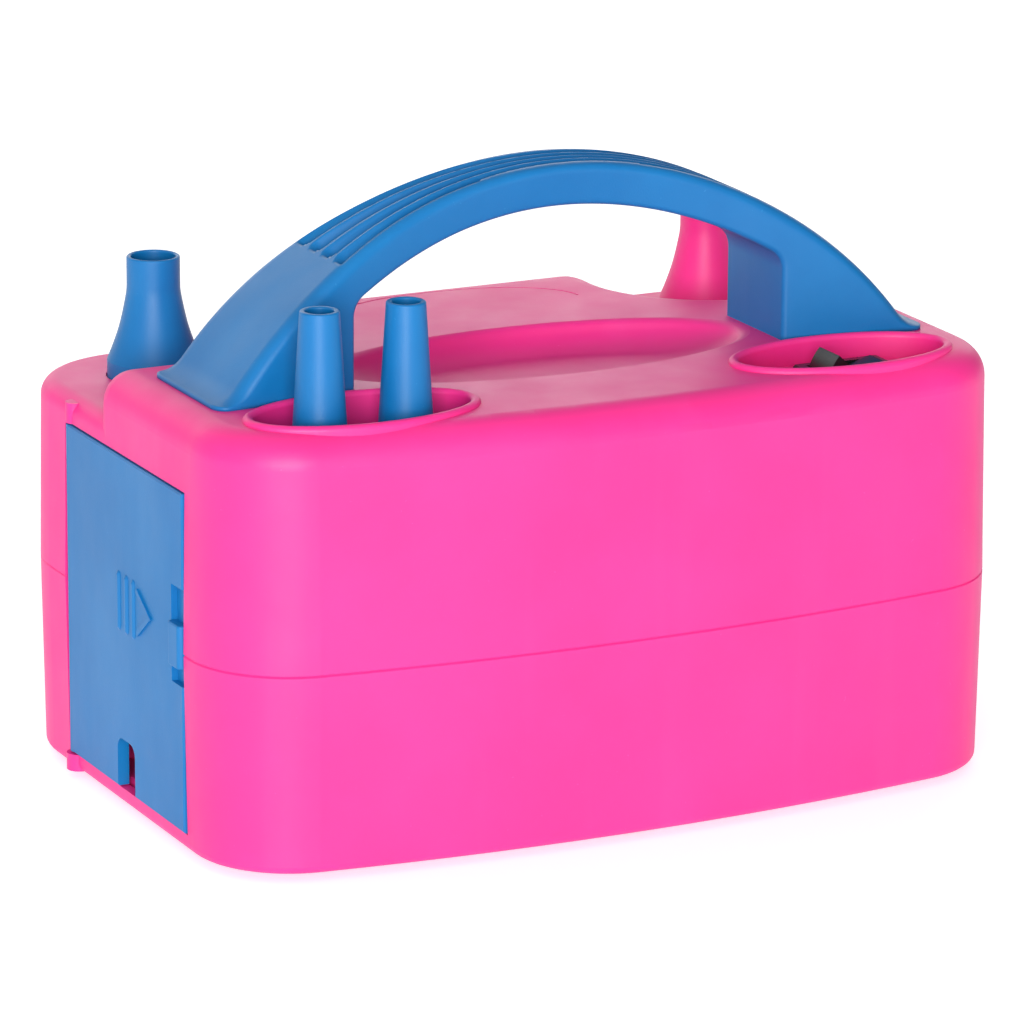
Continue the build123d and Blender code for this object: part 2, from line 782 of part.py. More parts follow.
with BuildPart() as switch_body:
    with BuildSketch(Plane.XY.offset(switch_floor_z)) as bezel:
        with Locations((switch_x, switch_y)):
            Rectangle(*bezel_size)
        fillet(bezel.vertices(), 1)
    extrude(amount=2)
    chamfer(switch_body.faces().sort_by(Axis.Z)[-1].edges(), 0.5)
    with BuildSketch(Plane.XY.offset(switch_bottom_z)):
        with Locations((switch_x, switch_y)):
            Rectangle(*switch_case_size)
    extrude(amount=switch_floor_z - switch_bottom_z)
    with BuildSketch(Plane.XY.offset(switch_cavity_floor_z)):
        with Locations((switch_x, switch_y)):
            Rectangle(*switch_cavity_size)
    extrude(amount=20, mode=Mode.SUBTRACT)
    with BuildSketch(Plane.XZ.offset(-switch_y)):
        with Locations((switch_x, switch_pivot_z)):
            Circle(pivot_radius + 0.05)
    extrude(amount=6.4, both=True, mode=Mode.SUBTRACT)
switch_body.part.label = "switch_body"
export_step(switch_body.part, "parts/switch_body.step")


def rocker_point(x, z):
    """A point of the rocker, given level, turned to the tilt that it rests at."""
    angle = radians(rocker_tilt)
    return (switch_x + x * cos(angle) + z * sin(angle), switch_pivot_z + z * cos(angle) - x * sin(angle))


with BuildPart() as switch_rocker:
    with BuildSketch(Plane.XZ.offset(-switch_y)):
        with BuildLine():
            Polyline(
                rocker_point(-7.4, 6.4),
                rocker_point(0, 2.3),
                rocker_point(7.4, 6.4),
            )
            ThreePointArc(rocker_point(7.4, 6.4), rocker_point(8.75, 3), rocker_point(9.1, -1))
            Polyline(
                rocker_point(9.1, -1),
                rocker_point(3.5, -4),
                rocker_point(-3.5, -4),
                rocker_point(-9.1, -1),
            )
            ThreePointArc(rocker_point(-9.1, -1), rocker_point(-8.75, 3), rocker_point(-7.4, 6.4))
        make_face()
    extrude(amount=rocker_half_width, both=True)
    with BuildSketch(Plane.XZ.offset(-switch_y)):
        with Locations((switch_x, switch_pivot_z)):
            Circle(pivot_radius)
    extrude(amount=6.2, both=True)
switch_rocker.part.label = "switch_rocker"
export_step(switch_rocker.part, "parts/switch_rocker.step")

with BuildPart() as switch_terminals:
    with BuildSketch(Plane.XY.offset(switch_bottom_z - terminal_length)):
        with Locations(*[(switch_x + x, switch_y) for x in (-7, 0, 7)]):
            Rectangle(*terminal_size)
    extrude(amount=terminal_length)
switch_terminals.part.label = "switch_terminals"
export_step(switch_terminals.part, "parts/switch_terminals.step")

# ---- small nozzle tips that stand in the left pocket ----

for name, x in zip(("outer", "inner"), tip_places):
    with BuildPart() as tip:
        with BuildSketch(Plane(origin=(x, tip_y, 0), x_dir=(1, 0, 0), z_dir=(0, -1, 0))) as half:
            with BuildLine():
                Polyline(
                    (tip_bore, tip_floor_z),
                    (tip_base_radius, tip_floor_z),
                    (tip_base_radius, tip_shoulder_z),
                    (tip_neck_radius, tip_neck_z),
                    (tip_top_radius, tip_top_z),
                    (tip_top_bore, tip_top_z),
                    (tip_neck_bore, tip_neck_z),
                    (tip_bore, tip_shoulder_z + 0.5),
                    (tip_bore, tip_floor_z),
                )
            make_face()
            fillet(half.vertices().sort_by(Axis.Y)[-2:], 0.5)
        revolve(axis=Axis((x, tip_y, 0), (0, 0, 1)))
    tip.part.label = f"{name}_tip"
    export_step(tip.part, f"parts/{name}_tip.step")

# ---- outlet nozzles and motor units ----

inner_wall = chamber_radius - chamber_wall
fan_seat_z = floor_z + 1.5


def bearing_support(side, plate_z, boss_z):
    """A plate across the chamber, with a boss that holds one bearing and six holes for the air."""
    with BuildPart() as support:
        with BuildSketch(well_plane(side, plate_z)):
            Circle(inner_wall)
            with PolarLocations(14.5, 6):
                Circle(4.2, mode=Mode.SUBTRACT)
        extrude(amount=plate_thickness)
        with BuildSketch(well_plane(side, boss_z)):
            Circle(bearing_boss_radius)
        extrude(amount=bearing_boss_height)
        with BuildSketch(well_plane(side, boss_z - 1)):
            Circle(bearing_radius)
        extrude(amount=bearing_boss_height + 2, mode=Mode.SUBTRACT)
    return support.part


for side_name, side in sides.items():
    section = outlet_section(side)
    axis = outlet_axis(side)
    # direction from the outlet's axis to the middle of the housing
    inward = -side

    with BuildPart() as nozzle:
        with BuildSketch(section):
            with BuildLine():
                Polyline((bore_radius, rim_z), (rim_radius, rim_z), (rim_radius, neck_z))
                Spline(
                    (rim_radius, neck_z),
                    *flare,
                    (collar_radius, collar_z),
                    tangents=((0, -1), (0.3, -0.7)),
                )
                Polyline(
                    (collar_radius, collar_z),
                    (collar_radius, flange_top_z),
                    (flange_radius, flange_top_z),
                    (flange_radius, flange_bottom_z),
                    (spigot_radius + 0.4, flange_bottom_z),
                    (spigot_radius + 0.4, throat_bottom_z),
                    (bore_radius, throat_top_z),
                    (bore_radius, rim_z),
                )
            make_face()
        revolve(axis=axis)
        fillet(nozzle.edges().filter_by(lambda e: e.center().Z > rim_z - 0.01), 0.5)
        # finger that reaches over the micro switch
        with BuildSketch(well_plane(side, flange_bottom_z)):
            with Locations((inward * (finger_reach + flange_radius - 0.6) / 2, 0)):
                Rectangle(finger_reach - flange_radius + 0.6, finger_width)
            Circle(collar_radius, mode=Mode.SUBTRACT)
        extrude(amount=2)
    nozzle.part.label = f"{side_name}_nozzle"
    export_step(nozzle.part, f"parts/{side_name}_nozzle.step")

    spring_height = flange_bottom_z - chamber_top_z - 2 * spring_wire
    with BuildPart() as spring:
        with BuildLine() as coil:
            Helix(
                pitch=spring_height / spring_turns,
                height=spring_height,
                radius=spring_radius,
                center=(side * nozzle_x, nozzle_y, chamber_top_z + spring_wire),
            )
        with BuildSketch(Plane(origin=coil.line @ 0, z_dir=coil.line % 0)):
            Circle(spring_wire)
        sweep(is_frenet=True)
    spring.part.label = f"{side_name}_nozzle_spring"
    export_step(spring.part, f"parts/{side_name}_nozzle_spring.step")

    with BuildPart() as chamber:
        with BuildSketch(section):
            with BuildLine():
                Polyline(
                    (chamber_radius, chamber_bottom_z),
                    (chamber_radius, chamber_top_z),
                    (spigot_radius, chamber_top_z),
                    (spigot_radius, well_deck_z),
                    (spigot_radius - spigot_wall, well_deck_z),
                    (spigot_radius - spigot_wall, chamber_top_z - chamber_top_wall),
                    (inner_wall, chamber_top_z - chamber_top_wall),
                    (inner_wall, chamber_bottom_z),
                    (chamber_radius, chamber_bottom_z),
                )
            make_face()
        revolve(axis=axis)
        with BuildSketch(well_plane(side, 80)):
            with Locations((inward * 24, 0)):
                Rectangle(1.6, 12.8)
        extrude(amount=chamber_top_z - 80)
    chamber.part.label = f"{side_name}_motor_chamber"
    export_step(chamber.part, f"parts/{side_name}_motor_chamber.step")

    with BuildPart() as fan_housing:
        with BuildSketch(section):
            with BuildLine():
                Polyline(
                    (intake_radius, fan_seat_z),
                    (chamber_radius, fan_seat_z),
                    (chamber_radius, chamber_bottom_z),
                    (inner_wall, chamber_bottom_z),
                    (inner_wall, fan_seat_z + fan_housing_wall),
                    (intake_radius, fan_seat_z + fan_housing_wall),
                    (intake_radius, fan_seat_z),
                )
            make_face()
        revolve(axis=axis)
    fan_housing.part.label = f"{side_name}_fan_housing"
    export_step(fan_housing.part, f"parts/{side_name}_fan_housing.step")

    with BuildPart() as mount_rings:
        for ring_z in ring_places:
            with BuildSketch(well_plane(side, ring_z)):
                Circle(chamber_radius + ring_thickness)
                Circle(chamber_radius, mode=Mode.SUBTRACT)
            extrude(amount=ring_height)
    mount_rings.part.label = f"{side_name}_mount_rings"
    export_step(mount_rings.part, f"parts/{side_name}_mount_rings.step")

    lower_bearing_z, upper_bearing_z = bearing_places
    bearing_plate = bearing_support(side, lower_bearing_z - 1, lower_bearing_z - 1)
    bearing_plate.label = f"{side_name}_bearing_plate"
    export_step(bearing_plate, f"parts/{side_name}_bearing_plate.step")

    end_frame = bearing_support(side, upper_bearing_z + 2, upper_bearing_z - 0.5)
    end_frame.label = f"{side_name}_end_frame"
    export_step(end_frame, f"parts/{side_name}_end_frame.step")

    with BuildPart() as bearings:
        for bearing_z in bearing_places:
            with BuildSketch(well_plane(side, bearing_z)):
                Circle(bearing_radius)
                Circle(shaft_radius + 0.04, mode=Mode.SUBTRACT)
            extrude(amount=bearing_height)
    bearings.part.label = f"{side_name}_bearings"
    export_step(bearings.part, f"parts/{side_name}_bearings.step")

    with BuildPart() as stator:
        with BuildSketch(well_plane(side, core_bottom_z)):
            Circle(stator_radius)
            Circle(stator_radius - stator_back, mode=Mode.SUBTRACT)
            with Locations((15.5, 0), (-15.5, 0)):
                Rectangle(6.6, 12)
            with BuildSketch(mode=Mode.PRIVATE) as shoes:
                Circle(pole_shoe_radius)
                Rectangle(30, 18, mode=Mode.INTERSECT)
            add(shoes.sketch)
            Circle(rotor_gap_radius, mode=Mode.SUBTRACT)
        extrude(amount=core_height)
    stator.part.label = f"{side_name}_stator_core"
    export_step(stator.part, f"parts/{side_name}_stator_core.step")

    with BuildPart() as field_coils:
        for direction in (-1, 1):
            coil_plane = Plane(
                origin=(side * nozzle_x + direction * 12.8, nozzle_y, (core_bottom_z + core_top_z) / 2),
                x_dir=(0, 1, 0),
                z_dir=(direction, 0, 0),
            )
            with BuildSketch(coil_plane) as loop:
                Rectangle(20, 31)
                fillet(loop.vertices(), 3)
                Rectangle(12.4, 24.4, mode=Mode.SUBTRACT)
            extrude(amount=2.4)
    field_coils.part.label = f"{side_name}_field_coils"
    export_step(field_coils.part, f"parts/{side_name}_field_coils.step")

    with BuildPart() as armature_core:
        with BuildSketch(well_plane(side, core_bottom_z)):
            Circle(armature_radius)
            Circle(shaft_radius, mode=Mode.SUBTRACT)
            with PolarLocations(armature_radius - 1.9, 12):
                Rectangle(4.4, 1.6, mode=Mode.SUBTRACT)
        extrude(amount=core_height)
    armature_core.part.label = f"{side_name}_armature_core"
    export_step(armature_core.part, f"parts/{side_name}_armature_core.step")

    with BuildPart() as armature_winding:
        for bottom in (core_bottom_z - winding_height, core_top_z):
            with BuildSketch(well_plane(side, bottom)):
                Circle(winding_radius)
                Circle(shaft_radius, mode=Mode.SUBTRACT)
            extrude(amount=winding_height)
    armature_winding.part.label = f"{side_name}_armature_winding"
    export_step(armature_winding.part, f"parts/{side_name}_armature_winding.step")

    with BuildPart() as commutator:
        with BuildSketch(well_plane(side, commutator_bottom_z)):
            Circle(commutator_radius)
            Circle(shaft_radius, mode=Mode.SUBTRACT)
            with PolarLocations(commutator_radius - 0.3, 12):
                Rectangle(1.4, 0.5, mode=Mode.SUBTRACT)
        extrude(amount=commutator_height)
    commutator.part.label = f"{side_name}_commutator"
    export_step(commutator.part, f"parts/{side_name}_commutator.step")

    with BuildPart() as shaft:
        with BuildSketch(well_plane(side, shaft_bottom_z)):
            Circle(shaft_radius)
        extrude(amount=shaft_length)
        chamfer(shaft.edges().filter_by(GeomType.CIRCLE), 0.4)
    shaft.part.label = f"{side_name}_shaft"
    export_step(shaft.part, f"parts/{side_name}_shaft.step")

    with BuildPart() as impeller:
        with BuildSketch(well_plane(side, impeller_disc_z)):
            Circle(impeller_radius)
        extrude(amount=1.8)
        with BuildSketch(well_plane(side, impeller_bottom_z)):
            Circle(5.5)
            with PolarLocations(12.3, 8):
                Rectangle(blade_length, 1.3, rotation=blade_lean)
        extrude(amount=impeller_disc_z - impeller_bottom_z + 0.5)
        with BuildSketch(well_plane(side, impeller_bottom_z)):
            Circle(shaft_radius)
        extrude(amount=30, mode=Mode.SUBTRACT)
    impeller.part.label = f"{side_name}_impeller"
    export_step(impeller.part, f"parts/{side_name}_impeller.step")

    with BuildPart() as brush_ring:
        with BuildSketch(well_plane(side, 66)):
            Circle(inner_wall)
            Circle(16, mode=Mode.SUBTRACT)
            with Locations((0, 14), (0, -14)):
                Rectangle(9, 7)
        extrude(amount=2)
    brush_ring.part.label = f"{side_name}_brush_ring"
    export_step(brush_ring.part, f"parts/{side_name}_brush_ring.step")

    with BuildPart() as brush_holders:
        for direction in (-1, 1):
            holder_plane = Plane(
                origin=(side * nozzle_x, nozzle_y + direction * 8.5, brush_z),
                x_dir=(1, 0, 0),
                z_dir=(0, direction, 0),
            )
            with BuildSketch(holder_plane):
                Rectangle(6.4, 6)
                Rectangle(brush_width, brush_width, mode=Mode.SUBTRACT)
            extrude(amount=11)
    brush_holders.part.label = f"{side_name}_brush_holders"
    export_step(brush_holders.part, f"parts/{side_name}_brush_holders.step")

    with BuildPart() as brushes:
        for direction in (-1, 1):
            brush_plane = Plane(
                origin=(side * nozzle_x, nozzle_y + direction * 6.6, brush_z),
                x_dir=(1, 0, 0),
                z_dir=(0, direction, 0),
            )
            with BuildSketch(brush_plane):
                Rectangle(brush_width, brush_width)
            extrude(amount=brush_length)
    brushes.part.label = f"{side_name}_brushes"
    export_step(brushes.part, f"parts/{side_name}_brushes.step")

    with BuildPart() as micro_switch:
        with BuildSketch(well_plane(side, 81)):
            with Locations((inward * 27.7, 0)):
                Rectangle(5.8, 12.8)
        extrude(amount=6.5)
        with BuildSketch(well_plane(side, 87.5)):
            with Locations((inward * 27.2, 0)):
                Circle(1)
        extrude(amount=1.2)
    micro_switch.part.label = f"{side_name}_micro_switch"
    export_step(micro_switch.part, f"parts/{side_name}_micro_switch.step")

# ---- interference suppression capacitor ----

with BuildPart() as capacitor:
    with BuildSketch(Plane.XY.offset(floor_z)):
        with Locations((0, 40.1)):
            Rectangle(26, 10.4)
    extrude(amount=18)
    fillet(capacitor.edges().filter_by(Axis.Z), 1)
capacitor.part.label = "capacitor"
export_step(capacitor.part, "parts/capacitor.step")
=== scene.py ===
import json
import math

import bmesh
import bpy
from mathutils import Matrix, Vector


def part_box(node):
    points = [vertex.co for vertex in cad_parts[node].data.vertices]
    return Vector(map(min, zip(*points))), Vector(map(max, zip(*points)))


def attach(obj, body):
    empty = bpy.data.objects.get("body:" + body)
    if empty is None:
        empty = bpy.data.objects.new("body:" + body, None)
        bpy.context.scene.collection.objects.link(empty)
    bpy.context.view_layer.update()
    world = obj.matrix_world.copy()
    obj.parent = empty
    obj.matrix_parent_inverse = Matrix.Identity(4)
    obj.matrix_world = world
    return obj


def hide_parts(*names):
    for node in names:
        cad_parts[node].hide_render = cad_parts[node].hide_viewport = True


# Electric twin-nozzle balloon inflator. Lengths are in metres, except that the handle is worked
# out in millimetres, which MM turns into metres.

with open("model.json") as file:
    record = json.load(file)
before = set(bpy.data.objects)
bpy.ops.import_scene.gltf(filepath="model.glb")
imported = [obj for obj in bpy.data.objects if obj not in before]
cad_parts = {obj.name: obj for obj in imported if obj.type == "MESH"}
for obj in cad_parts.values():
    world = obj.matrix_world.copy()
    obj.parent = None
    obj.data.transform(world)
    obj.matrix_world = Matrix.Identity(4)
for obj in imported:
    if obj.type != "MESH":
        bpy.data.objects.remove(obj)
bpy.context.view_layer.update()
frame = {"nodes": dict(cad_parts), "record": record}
NODES = frame["nodes"]
MM = 0.001

# Places of a Mix node's colour sockets, which share their names with its other sockets
MIX_FIRST_COLOUR = 6
MIX_SECOND_COLOUR = 7
MIX_RESULT_COLOUR = 2


# ---- node helpers ----


def node(tree, kind, at=(0, 0), **settings):
    made = tree.nodes.new(kind)
    made.location = at
    for key, value in settings.items():
        setattr(made, key, value)
    return made


def put(made, **values):
    """Set a node's inputs by name; underscores stand for spaces."""
    for key, value in values.items():
        made.inputs[key.replace("_", " ")].default_value = value


def noise_tex(tree, vector, scale, detail=3.0, rough=0.5, at=(0, 0)):
    tex = node(tree, "ShaderNodeTexNoise", at)
    put(tex, Scale=scale, Detail=detail, Roughness=rough)
    tree.links.new(vector, tex.inputs["Vector"])
    return tex.outputs["Fac"]


def mapped(tree, vector, scale, at=(0, 0)):
    mapping = node(tree, "ShaderNodeMapping", at)
    mapping.inputs["Scale"].default_value = scale
    tree.links.new(vector, mapping.inputs["Vector"])
    return mapping.outputs["Vector"]


def ramp(tree, factor, low, high, a, b, at=(0, 0)):
    """Map a factor between two positions onto two colours."""
    made = node(tree, "ShaderNodeValToRGB", at)
    made.color_ramp.elements[0].position = low
    made.color_ramp.elements[0].color = (*a, 1)
    made.color_ramp.elements[1].position = high
    made.color_ramp.elements[1].color = (*b, 1)
    tree.links.new(factor, made.inputs["Fac"])
    return made.outputs["Color"]


def span(tree, factor, low, high, a, b, at=(0, 0)):
    """Map a factor between low and high onto the numbers a to b."""
    made = node(tree, "ShaderNodeMapRange", at)
    put(made, From_Min=low, From_Max=high, To_Min=a, To_Max=b)
    tree.links.new(factor, made.inputs["Value"])
    return made.outputs["Result"]


def mixed(tree, factor, colour, other, at=(0, 0)):
    """Mix a colour socket with a plain colour by a factor socket."""
    made = node(tree, "ShaderNodeMix", at, data_type="RGBA")
    tree.links.new(factor, made.inputs["Factor"])
    tree.links.new(colour, made.inputs[MIX_FIRST_COLOUR])
    made.inputs[MIX_SECOND_COLOUR].default_value = (*other, 1)
    return made.outputs[MIX_RESULT_COLOUR]


def bumps(tree, height, strength, distance, normal=None, at=(0, 0)):
    made = node(tree, "ShaderNodeBump", at)
    put(made, Strength=strength, Distance=distance)
    tree.links.new(height, made.inputs["Height"])
    if normal is not None:
        tree.links.new(normal, made.inputs["Normal"])
    return made.outputs["Normal"]


def start(name):
    material = bpy.data.materials.new(name)
    material.use_nodes = True
    tree = material.node_tree
    tree.nodes.clear()
    out = node(tree, "ShaderNodeOutputMaterial", (900, 0))
    shader = node(tree, "ShaderNodeBsdfPrincipled", (600, 0))
    tree.links.new(shader.outputs["BSDF"], out.inputs["Surface"])
    place = node(tree, "ShaderNodeTexCoord", (-1400, 0)).outputs["Object"]
    return material, tree, shader, place


def moulded(
    name, base, deep, pale, rough, grain, streaks=0.0, specular=0.5, subsurface=0.0
):
    """Moulded plastic: cloudy pigment, flow streaks, pale specks, smears and a fine grain."""
    material, tree, shader, place = start(name)
    clouds = noise_tex(tree, place, 26, 4, 0.55, (-1100, 300))
    colour = ramp(tree, clouds, 0.36, 0.64, deep, base, (-850, 300))
    flow_place = mapped(tree, place, (55, 55, 4), (-1250, 60))
    flow = noise_tex(tree, flow_place, 1.0, 3, 0.6, (-1100, 60))
    streak = span(tree, flow, 0.55, 0.75, 0.0, streaks, (-850, 60))
    colour = mixed(tree, streak, colour, pale, (-600, 250))
    specks = noise_tex(tree, place, 900, 2, 0.5, (-1100, -150))
    dust = span(tree, specks, 0.74, 0.80, 0.0, 0.35, (-850, -150))
    colour = mixed(tree, dust, colour, pale, (-400, 250))
    tree.links.new(colour, shader.inputs["Base Color"])
    smear_place = mapped(tree, place, (60, 60, 22), (-1250, -350))
    smear = noise_tex(tree, smear_place, 1.0, 5, 0.6, (-1100, -350))
    roughness = span(tree, smear, 0.3, 0.7, rough - 0.05, rough + 0.06, (-600, -100))
    tree.links.new(roughness, shader.inputs["Roughness"])
    fine = noise_tex(tree, place, 2600, 2, 0.6, (-1100, -550))
    wave = noise_tex(tree, place, 38, 2, 0.5, (-1100, -750))
    normal = bumps(tree, wave, 0.25, 0.0012, at=(100, -500))
    normal = bumps(tree, fine, grain, 0.00012, normal, (330, -400))
    tree.links.new(normal, shader.inputs["Normal"])
    put(shader, IOR=1.5, Specular_IOR_Level=specular)
    if subsurface:
        put(shader, Subsurface_Weight=subsurface, Subsurface_Scale=0.004)
        shader.inputs["Subsurface Radius"].default_value = (1.0, 0.35, 0.5)
    return material


def metal(name, base, dark, rough, stretch=(1, 1, 1), scale=500.0):
    """Plated or drawn metal with fine marks and faint tarnish."""
    material, tree, shader, place = start(name)
    lines_place = mapped(tree, place, stretch, (-1250, 100))
    lines = noise_tex(tree, lines_place, scale, 3, 0.6, (-1100, 100))
    cloud = noise_tex(tree, place, 90, 4, 0.6, (-1100, 350))
    colour = ramp(tree, cloud, 0.35, 0.62, dark, base, (-800, 350))
    tree.links.new(colour, shader.inputs["Base Color"])
    roughness = span(tree, lines, 0.3, 0.7, rough - 0.06, rough + 0.1, (-800, 100))
    tree.links.new(roughness, shader.inputs["Roughness"])
    normal = bumps(tree, lines, 0.25, 0.00006, at=(300, -200))
    tree.links.new(normal, shader.inputs["Normal"])
    put(shader, Metallic=1.0)
    return material


def banded(tree, shader, place, pitch, colours, levels, strength, distance, **wobble):
    """Colour and bumps of level bands stacked up Z, at a pitch in metres."""
    wave = node(
        tree,
        "ShaderNodeTexWave",
        (-1000, 100),
        wave_type="BANDS",
        bands_direction="Z",
        wave_profile="SIN",
    )
    put(wave, Scale=math.pi / 10 / pitch, **wobble)
    tree.links.new(place, wave.inputs["Vector"])
    bands = wave.outputs["Fac"]
    colour = ramp(tree, bands, *levels, *colours, (-700, 200))
    tree.links.new(colour, shader.inputs["Base Color"])
    normal = bumps(tree, bands, strength, distance, at=(300, -200))
    tree.links.new(normal, shader.inputs["Normal"])


def wound(name, base, dark, pitch):
    """Enamelled wire: rings of thin wire seen as fine ridges."""
    material, tree, shader, place = start(name)
    wobble = {"Distortion": 0.8, "Detail": 1.0, "Detail_Scale": 3.0}
    banded(tree, shader, place, pitch, (dark, base), (0.2, 0.8), 0.7, 0.0002, **wobble)
    put(shader, Metallic=0.85, Roughness=0.32, Coat_Weight=0.4, Coat_Roughness=0.15)
    return material


def stacked(name, base, dark, pitch):
    """Laminated electrical steel: a stack of thin sheets seen on edge."""
    material, tree, shader, place = start(name)
    banded(tree, shader, place, pitch, (dark, base), (0.1, 0.5), 0.5, 0.00015, Distortion=0.1)
    put(shader, Metallic=0.9, Roughness=0.42)
    return material


def matte(name, base, dark, rough, scale, strength):
    """Rubber or pressed carbon: matte, slightly porous."""
    material, tree, shader, place = start(name)
    pores = noise_tex(tree, place, scale, 4, 0.7, (-1100, 100))
    colour = ramp(tree, pores, 0.35, 0.65, dark, base, (-800, 300))
    tree.links.new(colour, shader.inputs["Base Color"])
    normal = bumps(tree, pores, strength, 0.0001, at=(300, -200))
    tree.links.new(normal, shader.inputs["Normal"])
    put(shader, Roughness=rough)
    return material


FINISH = {
    "pink_plastic": moulded(
        "pink_moulded",
        base=(0.91, 0.028, 0.27),
        deep=(0.88, 0.023, 0.25),
        pale=(0.95, 0.10, 0.40),
        rough=0.48,
        grain=0.16,
        streaks=0.10,
        subsurface=0.12,
    ),
    "blue_plastic": moulded(
        "blue_moulded",
        base=(0.003, 0.170, 0.45),
        deep=(0.002, 0.148, 0.41),
        pale=(0.05, 0.29, 0.60),
        rough=0.45,
        grain=0.30,
        streaks=0.06,
        specular=0.38,
        subsurface=0.04,
    ),
    "black_plastic": moulded(
        "black_moulded",
        base=(0.012, 0.012, 0.014),
        deep=(0.008, 0.008, 0.009),
        pale=(0.05, 0.05, 0.05),
        rough=0.28,
        grain=0.2,
    ),
    "grey_plastic": moulded(
        "grey_moulded",
        base=(0.30, 0.31, 0.33),
        deep=(0.25, 0.26, 0.28),
        pale=(0.42, 0.43, 0.45),
        rough=0.42,
        grain=0.35,
    ),
    "white_plastic": moulded(
        "white_moulded",
        base=(0.74, 0.73, 0.68),
        deep=(0.66, 0.65, 0.60),
        pale=(0.85, 0.84, 0.8),
        rough=0.40,
        grain=0.3,
    ),
    "steel": metal("plated_steel", (0.62, 0.62, 0.63), (0.45, 0.45, 0.46), 0.28),
    "brass": metal("plated_brass", (0.74, 0.58, 0.28), (0.55, 0.40, 0.18), 0.3),
    "copper": wound("enamelled_copper", (0.66, 0.27, 0.11), (0.30, 0.10, 0.04), 0.0005),
    "carbon": matte(
        "pressed_carbon", (0.045, 0.045, 0.045), (0.02, 0.02, 0.02), 0.6, 1800, 0.5
    ),
    "laminations": stacked(
        "laminated_steel", (0.42, 0.42, 0.44), (0.10, 0.10, 0.11), 0.0007
    ),
    "rubber": matte(
        "soft_rubber", (0.035, 0.035, 0.036), (0.02, 0.02, 0.021), 0.7, 700, 0.4
    ),
    "spring_steel": metal(
        "spring_wire", (0.68, 0.68, 0.70), (0.5, 0.5, 0.52), 0.22, (1, 1, 6), 300
    ),
}

for row in frame["record"]["subparts"]:
    data = NODES[row["node"]].data
    data.materials.clear()
    data.materials.append(FINISH[row["material_slot"]])


# ---- handle: arched strap with four grip grooves along its top, in millimetres ----

HANDLE_LOW, HANDLE_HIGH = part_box("handle")
HANDLE_Y = (HANDLE_LOW.y + HANDLE_HIGH.y) / 2 / MM
DECK_Z = HANDLE_LOW.z / MM
APEX_Z = HANDLE_HIGH.z / MM
FOOT_X = HANDLE_HIGH.x / MM
ARCH_R = 113.7
FLARE_X = 90.5
FOOT_EDGE = 1.0
GRIP_DEPTH = 11.0
UNDER_R = 109.8
LEG_X = 58.6
LEG_FILLET = 6.0

# Half the strap's width at places along X
WIDTHS = (
    (0.0, 8.6),
    (24.0, 9.55),
    (42.0, 11.9),
    (58.6, 15.2),
    (72.0, 17.6),
    (86.0, 19.2),
    (98.0, 19.8),
)

GROOVES = 4
GROOVE_DEPTH = 2.6
GROOVE_END_X = 61.5
GROOVE_HALF_SHARE = 0.42
GROOVE_END_SHARE = 0.8

# Distance between the grooves at places along X
GROOVE_PITCH = ((0.0, 3.5), (20.0, 3.9), (40.0, 5.3), (60.0, 7.1), (80.0, 8.4))

# The outer and inner outlines are paired evenly down to these lengths from the crown, and
# evenly again from there to the foot
OUTER_SPLIT = 61.5
INNER_SPLIT = 55.0
STATIONS = 150

LEAN_REACH_X = 62.0
CROWN_LEAN = 1.5
LEAST_LEAN = 0.2
LOWER_ROUND = 1.2
CROWN_ROUND = 2.6
ROUND_GROWTH = 1.6
ROUND_REACH_X = 90.0
ROUND_HEIGHT_SHARE = 0.85
TOP_STEPS = 92
ROUND_STEPS = 7
SIDE_STEPS = 10


def eased(table, x):
    """Smooth (Catmull-Rom) reading of a table of (x, value), even about zero."""
    x = abs(x)
    before = (-table[1][0], table[1][1])
    after = (2 * table[-1][0] - table[-2][0], 2 * table[-1][1] - table[-2][1])
    keys = [before, *table, after]
    for i in range(1, len(keys) - 2):
        if x <= keys[i + 1][0] or i == len(keys) - 3:
            (x0, a), (x1, b), (x2, c), (x3, d) = keys[i - 1 : i + 3]
            t = (x - x1) / (x2 - x1)
            m1 = (c - a) / (x2 - x0) * (x2 - x1)
            m2 = (d - b) / (x3 - x1) * (x2 - x1)
            return (
                (2 * t**3 - 3 * t**2 + 1) * b
                + (t**3 - 2 * t**2 + t) * m1
                + (3 * t**2 - 2 * t**3) * c
                + (t**3 - t**2) * m2
            )


def path_length(points):
    return sum((Vector(b) - Vector(a)).length for a, b in zip(points, points[1:]))


def along(points, share):
    """Point at a share of a polyline's length."""
    left = share * path_length(points)
    for a, b in zip(points, points[1:]):
        length = (Vector(b) - Vector(a)).length
        if left <= length or b is points[-1]:
            return Vector(a).lerp(Vector(b), min(left / length, 1.0))
        left -= length


def arc_points(centre, radius, start_angle, end_angle, count):
    """Points on an arc, its angles turned from straight up towards X."""
    return [
        (
            centre[0] + radius * math.sin(start_angle + (end_angle - start_angle) * i / count),
            centre[1] + radius * math.cos(start_angle + (end_angle - start_angle) * i / count),
        )
        for i in range(count + 1)
    ]


def tangent_arc(a, direction, b, count):
    """Points on the circle through a, tangent to direction there, that ends at b."""
    a, b, direction = Vector(a), Vector(b), Vector(direction).normalized()
    normal = Vector((-direction.y, direction.x))
    chord = b - a
    radius = chord.length_squared / (2 * chord.dot(normal))
    centre = a + normal * radius
    first = math.atan2(a.y - centre.y, a.x - centre.x)
    last = math.atan2(b.y - centre.y, b.x - centre.x)
    turn = (last - first + math.pi) % (2 * math.pi) - math.pi
    return [
        (
            centre.x + abs(radius) * math.cos(first + turn * i / count),
            centre.y + abs(radius) * math.sin(first + turn * i / count),
        )
        for i in range(count + 1)
    ]


